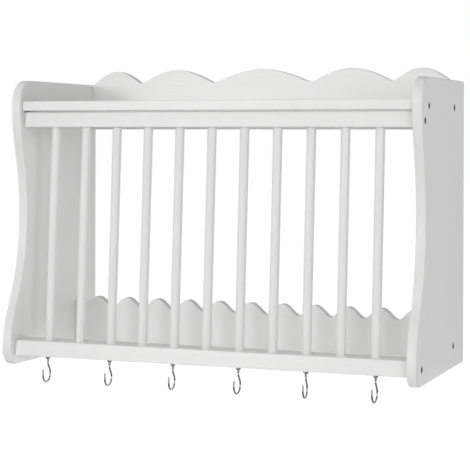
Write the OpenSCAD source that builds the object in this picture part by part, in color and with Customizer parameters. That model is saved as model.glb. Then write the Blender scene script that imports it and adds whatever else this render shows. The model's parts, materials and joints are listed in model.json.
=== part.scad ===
// Wall plate rack in painted wood. Two side panels with an S-shaped front edge carry a shelf, a
// scalloped back board, a low notched board for the plate rims, and a leaning row of round
// spindles between two rails. Cup hooks hang under the bottom rail.
// Millimetres. +X runs along the wall, -Y points out into the room and +Z is up. The origin lies
// on the wall, midway between the entry holes of the two keyhole hangers.

/* [Overall] */
// Width over both side panels
rack_w = 700; // [560:10:860]
// Thickness of every board
board_t = 16; // [14:1:20]
// Height of the side panels
side_h = 471; // [455:1:560]

/* [Side panel outline] */
// Depth of the panel at its belly, near the bottom
belly_depth = 321; // [310:1:360]
// Depth at the waist, where the panel is narrowest
waist_depth = 264; // [250:1:270]
// Height of the waist above the bottom edge
waist_z = 247; // [220:1:270]
// Depth at the chest, under the rounded top corner
chest_depth = 289.5; // [284:0.5:300]
// Radius of the top front corner
top_corner_r = 40; // [20:1:60]
// Radius of the bottom front corner
bottom_corner_r = 26; // [10:1:40]
// Share of the belly's arc in the lower curve
belly_share = 0.315; // [0.25:0.005:0.6]
// Share of the waist's arc in the upper curve
waist_share = 0.6; // [0.4:0.01:0.7]

/* [Shelf] */
// Distance of the shelf's top face below the top of the side panels
shelf_down = 35; // [26:1:60]
// Thickness of the shelf
shelf_t = 16; // [12:0.5:20]
// Distance of the shelf's front edge behind the panels' chest
shelf_in = 8; // [2:0.5:20]

/* [Top back board] */
// How far the board reaches down below the shelf
back_board_drop = 29.7; // [15:0.1:50]
// Height of the valleys between the waves over the side panels
valley_up = 2.5; // [0.5:0.5:30]
// Height of each wave over its valleys
wave_rise = 22.5; // [10:0.5:40]
// Relative lengths of the waves, from left to right
wave_lengths = [98, 141, 180, 146, 103]; // [60:1:220]
// How round the valleys are between the waves, from nearly pointed to as round as the crests
wave_round = 0.09; // [0.02:0.01:1]

/* [Lower back board] */
// Depth of the board's front face from the wall
plate_board_depth = 84.5; // [70:0.5:110]
// Height of the board's bottom edge
plate_board_z = 16; // [10:1:30]
// Height of the notches' lowest points
notch_z = 75.3; // [70:0.1:90]
// Depth of a notch
notch_rise = 18.5; // [10:0.1:22]
// Distance from notch to notch
notch_pitch = 57.8; // [54:0.1:60]
// How far the crest nearest the middle stands to the right
notch_shift = -1.8; // [-10:0.1:10]
// How round the notches are, from nearly pointed to as round as the crests
notch_round = 0.6; // [0.1:0.05:1]

/* [Rails] */
// Gap between the shelf and the top rail
top_rail_gap = 2; // [0.5:0.5:6]
// Height of the top rail's front face
top_rail_h = 25; // [20:1:25]
// Thickness of the top rail at its bottom face
top_rail_t = 24; // [22:1:28]
// Distance of the top rail's front bottom edge behind the shelf's front edge
top_rail_in = 4.5; // [0:0.5:10]
// Height of the bottom rail's bottom face
bottom_rail_z = 16; // [12:1:20]
// Height of the bottom rail's front face
bottom_rail_h = 25; // [24:1:32]
// Thickness of the bottom rail at its bottom face
bottom_rail_t = 51; // [45:1:60]
// Distance of the bottom rail's front bottom edge behind the panels' belly
bottom_rail_in = 12; // [6:0.5:20]
// Slope of both rails' front faces
rail_face_lean = 6; // [0:1:14]

/* [Spindles] */
// Number of spindles
spindle_count = 11; // [5:2:13]
// Diameter of a spindle
spindle_d = 15; // [10:0.5:17]
// Distance of a spindle's axis behind the bottom rail's front edge, at the rail's top face
spindle_foot_in = 21; // [17:0.5:27]
// Distance of a spindle's axis behind the top rail's front edge, at the rail's bottom face
spindle_head_in = 12; // [10:0.5:14]
// Depth of the sockets in the rails
socket_depth = 10; // [6:0.5:12]

/* [Cup hooks] */
// Thickness of the hook's wire
hook_wire_d = 3.2; // [2.4:0.1:4]
// Straight length of wire under the neck
hook_lead_l = 3.2; // [0.5:0.1:10]
// Angle of the bend that sends the wire back before the bow
hook_bend = 35; // [20:1:45]
// Radius of that bend, at the middle of the wire
hook_bend_r = 4; // [2.5:0.5:8]
// Straight length of wire between the bend and the bow
hook_slant_l = 8.3; // [4:0.1:14]
// Radius of the bow, at the middle of the wire
hook_bow_r = 12.7; // [8:0.1:14]
// Length of the open end above the middle of the bow
hook_tip_l = 9.1; // [4:0.1:14]
// Diameter of the collar under the rail
hook_collar_d = 9; // [7:0.5:12]
// Thickness of the collar
hook_collar_t = 3.2; // [1:0.2:4]
// Length of the neck under the collar
hook_neck_l = 5; // [3:0.5:6]
// Length of the threaded shank in the rail
hook_shank_l = 11; // [6:0.5:12]
// Diameter of the threaded shank
hook_shank_d = 3; // [2:0.2:4]
// Distance of the hooks behind the bottom rail's front edge
hook_in = 7; // [5:0.5:22]
// How far the hooks stand to the right of the spindles above them
hook_shift = 3.7; // [-10:0.1:10]
// Turn of each hook from the rack's length, open end to the left at 0 and to the front at 90
hook_turns = [90, 90, 91, 87, 93, 87]; // [0:1:180]

/* [Screws and dowels] */
// Diameter of a panel screw's head
screw_head_d = 11; // [8:0.5:12]
// Height of a panel screw's head
screw_head_h = 3.5; // [2:0.5:5]
// Diameter of a panel screw's shank
screw_shank_d = 6; // [4:0.5:7]
// Length of a panel screw
screw_l = 50; // [40:1:60]
// Width across the flats of the screw's socket
screw_key = 4; // [3:0.5:5]
// Distance of the shelf's front screws behind its front edge
shelf_screw_front = 36; // [20:1:60]
// Distance of the shelf's back screws from the wall
shelf_screw_back = 72; // [50:1:100]
// Height of the shelf's screws above its bottom face
shelf_screw_up = 6; // [5:0.5:10]
// Distance of the top rail's screws behind its front bottom edge
top_screw_back = 7.5; // [7:0.5:14]
// Distance of the bottom rail's screws behind its front bottom edge
bottom_screw_back = 22; // [20:1:25]
// Height of both rails' screws above the rails' bottom faces
rail_screw_up = 10; // [6:0.5:14]
// Height of the lower board's screws above its bottom edge
plate_screw_up = 20; // [12:0.5:24]
// Diameter of a dowel
dowel_d = 8; // [6:0.5:10]
// Length of a dowel
dowel_l = 30; // [24:1:36]
// Depth of a dowel's hole in the side panel
dowel_sunk = 10; // [6:0.5:12]
// Distance from the screw up to the dowel in the lower board
plate_dowel_up = 22; // [16:1:26]
// Distance of the upper board's dowels from its bottom edge and from the panels' top
back_dowel_in = 18; // [12:1:25]
// Number of screws through the top back board into the shelf
back_screw_count = 3; // [2:1:5]
// Distance of the outer ones of those screws from the outside of the side panels
back_screw_in = 150; // [120:5:180]
// Clearance round screws, dowels and spindles
hole_clear = 0.1; // [0.05:0.01:0.2]

/* [Wall hangers] */
// Distance of a hanger's middle from the outside of the side panel
hanger_in = 70; // [60:5:110]
// Height of the entry holes' middles over the shelf's top face
hanger_up = 4; // [0:1:8]
// Width of a hanger plate
hanger_w = 18; // [17:1:24]
// Length of a hanger plate
hanger_l = 46; // [44:1:50]
// Thickness of a hanger plate
hanger_t = 1.8; // [1.2:0.1:2.4]
// Diameter of the hole that a wall screw's head goes in through
entry_d = 9; // [8:0.5:10]
// Width of the slot that the wall screw hangs in
slot_w = 4.5; // [4:0.1:5]
// Length of the slot above the entry hole's middle
slot_l = 10; // [8:0.5:11]
// Depth of the pocket for the wall screw's head
pocket_depth = 11; // [8:0.5:12]
// Distance between a hanger's two screws
hanger_screw_pitch = 34; // [33:1:35]
// Diameter of a hanger screw's shank
hanger_screw_d = 3; // [2.4:0.2:3.4]
// Length of a hanger screw
hanger_screw_l = 12; // [8:1:13]

/* [Hidden] */
function numbered(name, count) = [for (i = [1:count]) str(name, "_", i)];

// A cup hook hangs under every second spindle, the outer ones included
hook_count = (spindle_count + 1) / 2;

$fn = 48;
paint = "#f1f1ef";
steel = "#b9bcc0";
dark_steel = "#3a3a3d";
bare_wood = "#d9b98a";
// How far a cutter runs past the face that it starts from
over = 1;
// Points along half an ogee, a quarter corner and one wave of the back board
ogee_steps = 10;
corner_steps = 8;
wave_steps = 22;
// Points along one wave of the notched board
notch_steps = 14;
// The head of a hanger screw, over its shank and into its plate
hanger_head_d = 2 * hanger_screw_d;
hanger_head_h = hanger_t / 2;
// How much thicker a hook's neck is at the collar than its wire
neck_flare = 1.2;
// How much narrower the collar is at its lower end than at the rail
collar_taper = 1.6;
// How much wider a hanger's pocket is than its entry hole
pocket_room = 2;
// How much thicker than the wire the beads are that join a hook's bends
wire_bead = 0.04;

inner_w = rack_w - 2 * board_t;
inner_x = inner_w / 2;
chest_z = side_h - top_corner_r;
// Depths from the wall: the shelf and both rails lie behind the panels' front edges, and the
// spindles and hooks behind the rails'
shelf_depth = chest_depth - shelf_in;
top_rail_depth = shelf_depth - top_rail_in;
bottom_rail_depth = belly_depth - bottom_rail_in;
spindle_foot_depth = bottom_rail_depth - spindle_foot_in;
spindle_head_depth = top_rail_depth - spindle_head_in;
hook_depth = bottom_rail_depth - hook_in;
// Heights above the bottom edge of the side panels
shelf_top_z = side_h - shelf_down;
shelf_bottom_z = shelf_top_z - shelf_t;
shelf_mid_z = shelf_top_z - shelf_t / 2;
back_board_z = shelf_bottom_z - back_board_drop;
valley_z = side_h + valley_up;
hanger_z = shelf_top_z + hanger_up;
back_mid_depth = board_t / 2;
plate_mid_depth = plate_board_depth - board_t / 2;
plate_screw_z = plate_board_z + plate_screw_up;
top_rail_z = shelf_bottom_z - top_rail_gap - top_rail_h;
bottom_rail_top_z = bottom_rail_z + bottom_rail_h;
spindle_pitch = inner_w / (spindle_count + 1);
// The lean of the spindles, and the length between the two rails along it
spindle_rise = top_rail_z - bottom_rail_top_z;
spindle_lean = atan2(spindle_foot_depth - spindle_head_depth, spindle_rise);
spindle_span = spindle_rise / cos(spindle_lean);
top_screw_depth = top_rail_depth - top_screw_back;
bottom_screw_depth = bottom_rail_depth - bottom_screw_back;

function spindle_x(i) = (i - (spindle_count + 1) / 2) * spindle_pitch;

// Points of an arc from one angle to another
function arc(centre, r, from, to, steps) =
    [for (i = [0:steps]) let (t = from + (to - from) * i / steps) centre + r * [cos(t), sin(t)]];

// An ogee from a to b: two arcs that meet on a common tangent, with both ends parallel to the
// first axis. The first arc has the given share of the two radii together.
function ogee(a, b, share) =
    let (run = b[0] - a[0], rise = b[1] - a[1], turn = 2 * atan2(abs(rise), run),
         radii = run / sin(turn), side = sign(rise), r0 = radii * share, r1 = radii - r0)
    concat(
        [for (i = [0:ogee_steps]) let (t = turn * i / ogee_steps)
            a + r0 * [sin(t), side * (1 - cos(t))]],
        [for (i = [ogee_steps - 1:-1:0]) let (t = turn * i / ogee_steps)
            b - r1 * [sin(t), side * (1 - cos(t))]]);

// An arch between 0 and 1, from valley to valley as t goes from 0 to 1, with rounded valleys
function arch(t, round) =
    (sqrt(pow(sin(180 * t), 2) + round * round) - round) / (sqrt(1 + round * round) - round);

// The sum of the first numbers of a list
function total(list, count) = count == 0 ? 0 : list[count - 1] + total(list, count - 1);

// Puts a solid that was drawn from the bottom edge of the panels into the rack's own frame
module in_frame() translate([0, 0, -hanger_z]) children();

// Extrudes an outline of [depth, height] points along the rack, centred on x
module along_rack(outline, length, x = 0) {
    translate([x, 0, 0]) rotate([90, 0, 90]) linear_extrude(length, center = true)
        polygon([for (p = outline) [-p[0], p[1]]]);
}

// Extrudes an outline of [x, height] points into a board with its front face at a depth
module facing_board(outline, front_depth) {
    translate([0, board_t - front_depth, 0]) rotate([90, 0, 0]) linear_extrude(board_t)
        polygon(outline);
}

// A round bar along x, from x0 to x1, at a depth and height
module bar(d, x0, x1, depth, z) {
    translate([x0, -depth, z]) rotate([0, 90, 0]) cylinder(d = d, h = x1 - x0);
}

// Side panels
side_outline = concat(
    [[0, 0]],
    arc([belly_depth - bottom_corner_r, bottom_corner_r], bottom_corner_r, -90, 0, corner_steps),
    [for (p = ogee([bottom_corner_r, belly_depth], [waist_z, waist_depth], belly_share))
        if (p[0] > bottom_corner_r) [p[1], p[0]]],
    [for (p = ogee([waist_z, waist_depth], [chest_z, chest_depth], waist_share))
        if (p[0] > waist_z && p[0] < chest_z) [p[1], p[0]]],
    arc([chest_depth - top_corner_r, chest_z], top_corner_r, 0, 90, corner_steps),
    [[0, side_h]]);

// Places of the panel screws, as [depth, height], by the board that they hold
shelf_screw_spots = [for (depth = [shelf_depth - shelf_screw_front, shelf_screw_back])
    [depth, shelf_bottom_z + shelf_screw_up]];
top_rail_spots = [[top_screw_depth, top_rail_z + rail_screw_up]];
bottom_rail_spots = [[bottom_screw_depth, bottom_rail_z + rail_screw_up]];
plate_board_spots = [[plate_mid_depth, plate_screw_z]];
// Places of the dowels
back_dowel_spots = [for (z = [back_board_z + back_dowel_in, side_h - back_dowel_in])
    [back_mid_depth, z]];
plate_dowel_spots = [[plate_mid_depth, plate_screw_z + plate_dowel_up]];
// The bores that they take
screw_bore_d = screw_shank_d + 2 * hole_clear;
head_bore_d = screw_head_d + 2 * hole_clear;
dowel_bore_d = dowel_d + 2 * hole_clear;

// The right hand panel, drilled and counterbored for the screws, with blind dowel holes inside
module side_panel() {
    mid_x = inner_x + board_t / 2;
    difference() {
        along_rack(side_outline, board_t, mid_x);
        for (p = concat(shelf_screw_spots, top_rail_spots, bottom_rail_spots, plate_board_spots)) {
            bar(screw_bore_d, inner_x - over, rack_w / 2, p[0], p[1]);
            bar(head_bore_d, rack_w / 2 - screw_head_h, rack_w / 2 + over, p[0], p[1]);
        }
        for (p = concat(back_dowel_spots, plate_dowel_spots))
            bar(dowel_bore_d, inner_x - over, inner_x + dowel_sunk + hole_clear, p[0], p[1]);
    }
}

module left_side_panel() color(paint) in_frame() mirror([1, 0, 0]) side_panel();
module right_side_panel() color(paint) in_frame() side_panel();

// Pilot holes for the panel screws, in both ends of a board
module end_pilots(spots) {
    for (side = [0, 1], p = spots) mirror([side, 0, 0])
        bar(screw_bore_d, rack_w / 2 - screw_l - hole_clear, inner_x + over, p[0], p[1]);
}

// Dowel holes in both ends of a board
module end_dowel_holes(spots) {
    bore_x = inner_x + dowel_sunk - dowel_l - hole_clear;
    for (side = [0, 1], p = spots) mirror([side, 0, 0])
        bar(dowel_bore_d, bore_x, inner_x + over, p[0], p[1]);
}

// Places the screws that hold the top back board to the shelf, with their heads at the wall
back_screw_pitch = (rack_w - 2 * back_screw_in) / (back_screw_count - 1);
module at_back_screws() {
    for (i = [1:back_screw_count])
        translate([(i - (back_screw_count + 1) / 2) * back_screw_pitch, 0, shelf_mid_z]) children();
}

module shelf_board() color(paint) in_frame() difference() {
    along_rack([[board_t, shelf_bottom_z], [shelf_depth, shelf_bottom_z],
                [shelf_depth, shelf_top_z], [board_t, shelf_top_z]], inner_w);
    end_pilots(shelf_screw_spots);
    at_back_screws() rotate([90, 0, 0]) cylinder(d = screw_bore_d, h = screw_l + hole_clear);
}

// A keyhole hanger's plate, seen from the wall: a round-ended strip with its keyhole and two
// countersunk screw holes. The entry hole's middle is the origin, and the slot runs up.
hanger_mid = slot_l / 2;
module hanger_strip(grow = 0) {
    w = hanger_w + 2 * grow;
    straight = hanger_l - hanger_w;
    translate([0, hanger_mid]) {
        square([w, straight], center = true);
        for (s = [-1, 1]) translate([0, s * straight / 2]) circle(d = w);
    }
}
module keyhole(round_d, slot) {
    circle(d = round_d);
    translate([-slot / 2, 0]) square([slot, slot_l]);
    translate([0, slot_l]) circle(d = slot);
}
module at_hanger_screws() {
    for (s = [-1, 1]) translate([0, hanger_mid + s * hanger_screw_pitch / 2]) children();
}

// Turns what is drawn in the wall's plane towards the room, at the place of a hanger
module at_hanger(side) {
    translate([side * (rack_w / 2 - hanger_in), 0, hanger_z]) rotate([90, 0, 0]) children();
}

// Recess, screw-head pocket and screw holes for one hanger
module hanger_recess() {
    translate([0, 0, -over]) linear_extrude(hanger_t + over) hanger_strip(hole_clear);
    linear_extrude(pocket_depth) keyhole(entry_d + pocket_room, entry_d + pocket_room);
    at_hanger_screws()
        cylinder(d = hanger_screw_d + 2 * hole_clear, h = hanger_screw_l + hole_clear);
}

// The waves fill the board's length, and fall to the top of the side panels at its two ends
wave_count = len(wave_lengths);
wave_share = [for (i = [0:wave_count]) total(wave_lengths, i) / total(wave_lengths, wave_count)];
wave_x = [for (share = wave_share) (share - 0.5) * inner_w];
wave_z = [for (i = [0:wave_count]) i == 0 || i == wave_count ? side_h : valley_z];
wave_points = [for (i = [0:wave_count - 1], j = [0:wave_steps - 1]) let (t = j / wave_steps)
    [wave_x[i] + (wave_x[i + 1] - wave_x[i]) * t,
     wave_z[i] + (wave_z[i + 1] - wave_z[i]) * t + wave_rise * arch(t, wave_round)]];
back_board_points = concat(
    [[inner_x, back_board_z], [-inner_x, back_board_z]], wave_points, [[inner_x, side_h]]);

module top_back_board() color(paint) in_frame() difference() {
    facing_board(back_board_points, board_t);
    end_dowel_holes(back_dowel_spots);
    at_back_screws() rotate([90, 0, 0]) {
        translate([0, 0, -over]) cylinder(d = head_bore_d, h = screw_head_h + over);
        cylinder(d = screw_bore_d, h = board_t + over);
    }
    for (side = [-1, 1]) at_hanger(side) hanger_recess();
}

notch_points = ceil(inner_w / notch_pitch * notch_steps);
plate_board_points = concat(
    [[-inner_x, plate_board_z], [inner_x, plate_board_z]],
    [for (i = [notch_points:-1:0]) let (x = inner_x * (2 * i / notch_points - 1))
        [x, notch_z + notch_rise * arch((x - notch_shift) / notch_pitch + 0.5, notch_round)]]);

module lower_back_board() color(paint) in_frame() difference() {
    facing_board(plate_board_points, plate_board_depth);
    end_pilots(plate_board_spots);
    end_dowel_holes(plate_dowel_spots);
}

// Sets children on a spindle's axis, with z along it and 0 at the bottom rail's top face
module on_spindle(i) {
    translate([spindle_x(i), -spindle_foot_depth, bottom_rail_top_z])
        rotate([-spindle_lean, 0, 0]) children();
}

// The length of a spindle, its sockets included, with room round it for the sockets
module spindle_bar(grow = 0) {
    translate([0, 0, -socket_depth])
        cylinder(d = spindle_d + 2 * grow, h = spindle_span + 2 * socket_depth);
}

// A rail's section: its front face leans back at the top, and its back face is upright
function rail_section(z, height, thickness, depth) =
    [[depth, z], [depth - height * tan(rail_face_lean), z + height],
     [depth - thickness, z + height], [depth - thickness, z]];

module top_front_rail() color(paint) in_frame() difference() {
    along_rack(rail_section(top_rail_z, top_rail_h, top_rail_t, top_rail_depth), inner_w);
    for (i = [1:spindle_count]) on_spindle(i) spindle_bar(hole_clear);
    end_pilots(top_rail_spots);
}

module bottom_front_rail() color(paint) in_frame() difference() {
    along_rack(rail_section(bottom_rail_z, bottom_rail_h, bottom_rail_t, bottom_rail_depth), inner_w);
    for (i = [1:spindle_count]) on_spindle(i) spindle_bar(hole_clear);
    for (i = [1:hook_count]) at_hook(i) translate([0, 0, -over])
        cylinder(d = hook_shank_d + 2 * hole_clear, h = hook_shank_l + over + hole_clear);
    end_pilots(bottom_rail_spots);
}

module spindle(i) color(paint) in_frame() on_spindle(i) spindle_bar();

// Cup hooks
hook_neck_top = -hook_collar_t;
hook_neck_end = hook_neck_top - hook_neck_l;

module at_hook(i)
    translate([spindle_x(2 * i - 1) + hook_shift, -hook_depth, bottom_rail_z]) children();

// Wire that starts at the origin along +z and follows steps of [length, 0] or [radius, turn],
// a turn being positive towards +x. A bead joins each step to the next and rounds the tip.
module bent_wire(steps, i = 0) {
    sphere(d = hook_wire_d + wire_bead);
    if (i < len(steps)) {
        size = steps[i][0];
        turn = abs(steps[i][1]);
        if (turn == 0) {
            cylinder(d = hook_wire_d, h = size);
            translate([0, 0, size]) bent_wire(steps, i + 1);
        } else {
            flip = steps[i][1] < 0 ? 180 : 0;
            rotate([0, 0, flip]) {
                translate([size, 0, 0]) rotate([90, 0, 180]) rotate_extrude(angle = turn)
                    translate([size, 0]) circle(d = hook_wire_d);
                translate([size * (1 - cos(turn)), 0, size * sin(turn)]) rotate([0, turn, 0])
                    rotate([0, 0, flip]) bent_wire(steps, i + 1);
            }
        }
    }
}

// A hook with its open end towards +x and the rail's bottom face at z = 0
module hook_body() {
    cylinder(d = hook_shank_d, h = hook_shank_l);
    translate([0, 0, hook_neck_top])
        cylinder(d1 = hook_collar_d - collar_taper, d2 = hook_collar_d, h = hook_collar_t);
    translate([0, 0, hook_neck_end])
        cylinder(d1 = hook_wire_d, d2 = hook_wire_d + neck_flare, h = hook_neck_l);
    translate([0, 0, hook_neck_end]) rotate([180, 0, 0])
        bent_wire([[hook_lead_l, 0], [hook_bend_r, -hook_bend], [hook_slant_l, 0],
                   [hook_bow_r, 180 + hook_bend], [hook_tip_l, 0]]);
}

module cup_hook(i) color(steel) in_frame() at_hook(i)
    rotate([0, 0, 180 + hook_turns[min(i, len(hook_turns)) - 1]]) hook_body();

// Screws, drawn along +z with the head's face at 0
module panel_screw() {
    difference() {
        cylinder(d = screw_head_d, h = screw_head_h);
        translate([0, 0, -over]) cylinder(d = screw_key / cos(30), h = screw_head_h, $fn = 6);
    }
    translate([0, 0, screw_head_h]) cylinder(d = screw_shank_d, h = screw_l - screw_head_h);
}

// Panel screws at the same spots of both side panels
module side_screws(spots) {
    color(dark_steel) in_frame() for (side = [0, 1], p = spots) mirror([side, 0, 0])
        translate([rack_w / 2, -p[0], p[1]]) rotate([0, -90, 0]) panel_screw();
}
module shelf_screws() side_screws(shelf_screw_spots);
module top_rail_screws() side_screws(top_rail_spots);
module bottom_rail_screws() side_screws(bottom_rail_spots);
module lower_board_screws() side_screws(plate_board_spots);
module back_board_screws() color(dark_steel) in_frame() at_back_screws()
    rotate([90, 0, 0]) panel_screw();

module dowels(spots) {
    color(bare_wood) in_frame() for (side = [0, 1], p = spots) mirror([side, 0, 0])
        bar(dowel_d, inner_x + dowel_sunk - dowel_l, inner_x + dowel_sunk, p[0], p[1]);
}
module top_board_dowels() dowels(back_dowel_spots);
module lower_board_dowels() dowels(plate_dowel_spots);

// Hangers
module hanger(side) color(steel) in_frame() at_hanger(side) difference() {
    linear_extrude(hanger_t) difference() {
        hanger_strip();
        keyhole(entry_d, slot_w);
        at_hanger_screws() circle(d = hanger_screw_d + 2 * hole_clear);
    }
    at_hanger_screws() translate([0, 0, -over])
        cylinder(d = hanger_head_d + 2 * hole_clear, h = hanger_head_h + over);
}
module left_hanger() hanger(-1);
module right_hanger() hanger(1);
module hanger_screws() {
    color(steel) in_frame() for (side = [-1, 1]) at_hanger(side) at_hanger_screws() {
        cylinder(d = hanger_head_d, h = hanger_head_h);
        cylinder(d = hanger_screw_d, h = hanger_screw_l);
    }
}

left_side_panel();
right_side_panel();
shelf_board();
top_back_board();
lower_back_board();
top_front_rail();
bottom_front_rail();
for (i = [1:spindle_count]) spindle(i);
for (i = [1:hook_count]) cup_hook(i);
shelf_screws();
top_rail_screws();
bottom_rail_screws();
lower_board_screws();
back_board_screws();
top_board_dowels();
lower_board_dowels();
left_hanger();
right_hanger();
hanger_screws();
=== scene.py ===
"""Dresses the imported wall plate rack: painted boards with eased edges, spindles, nickel cup hooks,
dark connector screws and zinc hangers, in a plain pale studio.

Lengths are in metres. The frame is the rack's own: +X along the wall, +Y into it and +Z up, with the
origin on the wall, midway between the two hangers' entry holes. Where no other base is named, heights
are over the bottom edge of the side panels. Depths are out from the wall.
"""

import json
import logging
import math
from dataclasses import dataclass, field, replace
from enum import Enum
from typing import Any, Iterator, Optional, Sequence, Union

import bmesh
import bpy
from mathutils import Matrix, Vector

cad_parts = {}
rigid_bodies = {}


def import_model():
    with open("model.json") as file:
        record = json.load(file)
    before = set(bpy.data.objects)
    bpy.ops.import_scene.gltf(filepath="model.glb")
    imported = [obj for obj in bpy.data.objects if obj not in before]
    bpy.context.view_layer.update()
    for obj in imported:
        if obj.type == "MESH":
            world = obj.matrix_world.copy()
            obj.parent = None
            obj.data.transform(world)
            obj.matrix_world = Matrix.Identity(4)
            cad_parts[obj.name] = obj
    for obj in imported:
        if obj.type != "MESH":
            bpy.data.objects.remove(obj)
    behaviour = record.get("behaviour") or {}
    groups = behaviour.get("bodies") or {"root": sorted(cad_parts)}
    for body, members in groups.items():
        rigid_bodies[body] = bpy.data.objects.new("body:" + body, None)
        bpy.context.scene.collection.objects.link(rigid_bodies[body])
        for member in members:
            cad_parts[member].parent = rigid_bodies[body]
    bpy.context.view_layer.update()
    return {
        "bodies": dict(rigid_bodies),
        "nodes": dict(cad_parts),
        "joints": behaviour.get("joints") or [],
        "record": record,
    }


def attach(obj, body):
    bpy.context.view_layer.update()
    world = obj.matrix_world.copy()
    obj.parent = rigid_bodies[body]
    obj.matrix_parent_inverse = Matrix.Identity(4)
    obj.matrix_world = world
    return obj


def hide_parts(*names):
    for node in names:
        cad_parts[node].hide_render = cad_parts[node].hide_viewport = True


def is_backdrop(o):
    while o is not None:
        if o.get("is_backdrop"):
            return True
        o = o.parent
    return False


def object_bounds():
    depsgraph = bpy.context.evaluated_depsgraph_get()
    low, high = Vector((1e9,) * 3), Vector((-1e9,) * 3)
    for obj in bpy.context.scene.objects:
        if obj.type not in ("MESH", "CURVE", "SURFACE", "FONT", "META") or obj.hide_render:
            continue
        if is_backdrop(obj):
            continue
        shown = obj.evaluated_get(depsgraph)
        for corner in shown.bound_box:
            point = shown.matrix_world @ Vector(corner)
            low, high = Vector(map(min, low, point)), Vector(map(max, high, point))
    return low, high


log = logging.getLogger("plate_rack")

Point2 = tuple[float, float]
Point3 = tuple[float, float, float]
Colour = tuple[float, float, float]
Value = Union["Wire", float, int]
MeshData = bmesh.types.BMesh
Piece = bpy.types.Object
# Pieces, each with the name of the CAD node that it stands for
NamedPieces = Iterator[tuple[str, Piece]]

IMAGE_PX = 470
SENSOR_MM = 36.0
WHITE = (1.0, 1.0, 1.0, 1.0)
SIDES = ((-1, "left"), (1, "right"))
# How much each finer octave of a noise keeps of the one before
OCTAVE_SHARE = 0.55
# How far a cutter starts outside the face that it cuts
OVER = 0.001


class Grain(Enum):
    """The direction in which the wood of a piece runs."""

    ACROSS = "x"
    UPRIGHT = "z"


class Plane(Enum):
    """The plane in which a board's outline is drawn."""

    SIDE = "depth and height, extruded along X"
    FACING = "x and height, extruded along the depth"


class Slot(Enum):
    """The record's material slots of the pieces that are made here."""

    PAINT = "white_paint"
    HOOK = "hook_metal"
    SCREW = "screw_metal"
    HANGER = "hanger_steel"


# Shader graphs


@dataclass(frozen=True)
class Wire:
    """An output socket in an expression. Arithmetic on it adds Math nodes to its graph."""

    graph: "Graph"
    socket: bpy.types.NodeSocket

    def _math(self, operation: str, first: Value, second: Value = 0.0) -> "Wire":
        """The result of one Math node."""
        return self.graph.node("ShaderNodeMath", {"operation": operation}, {0: first, 1: second})

    def __add__(self, other: Value) -> "Wire":
        """The sum."""
        return self._math("ADD", self, other)

    def __radd__(self, other: Value) -> "Wire":
        """The sum, with the number on the left."""
        return self._math("ADD", other, self)

    def __sub__(self, other: Value) -> "Wire":
        """The difference."""
        return self._math("SUBTRACT", self, other)

    def __rsub__(self, other: Value) -> "Wire":
        """The difference, with the number on the left."""
        return self._math("SUBTRACT", other, self)

    def __mul__(self, other: Value) -> "Wire":
        """The product."""
        return self._math("MULTIPLY", self, other)

    def __rmul__(self, other: Value) -> "Wire":
        """The product, with the number on the left."""
        return self._math("MULTIPLY", other, self)

    def __abs__(self) -> "Wire":
        """The value without its sign."""
        return self._math("ABSOLUTE", self)

    def either(self, other: Value) -> "Wire":
        """The larger of the two."""
        return self._math("MAXIMUM", self, other)


Patterns = tuple[Wire, Wire, Wire]


def weighted(share: float, first: Wire, second: Wire) -> Wire:
    """A mean in which the first has the given share and the second the rest."""
    return share * first + (1 - share) * second


@dataclass(frozen=True)
class Waves:
    """A noise: its waves per metre along X, Y and Z, its finer octaves, and an offset of its own."""

    rates: Point3
    octaves: float
    offset: float


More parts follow.
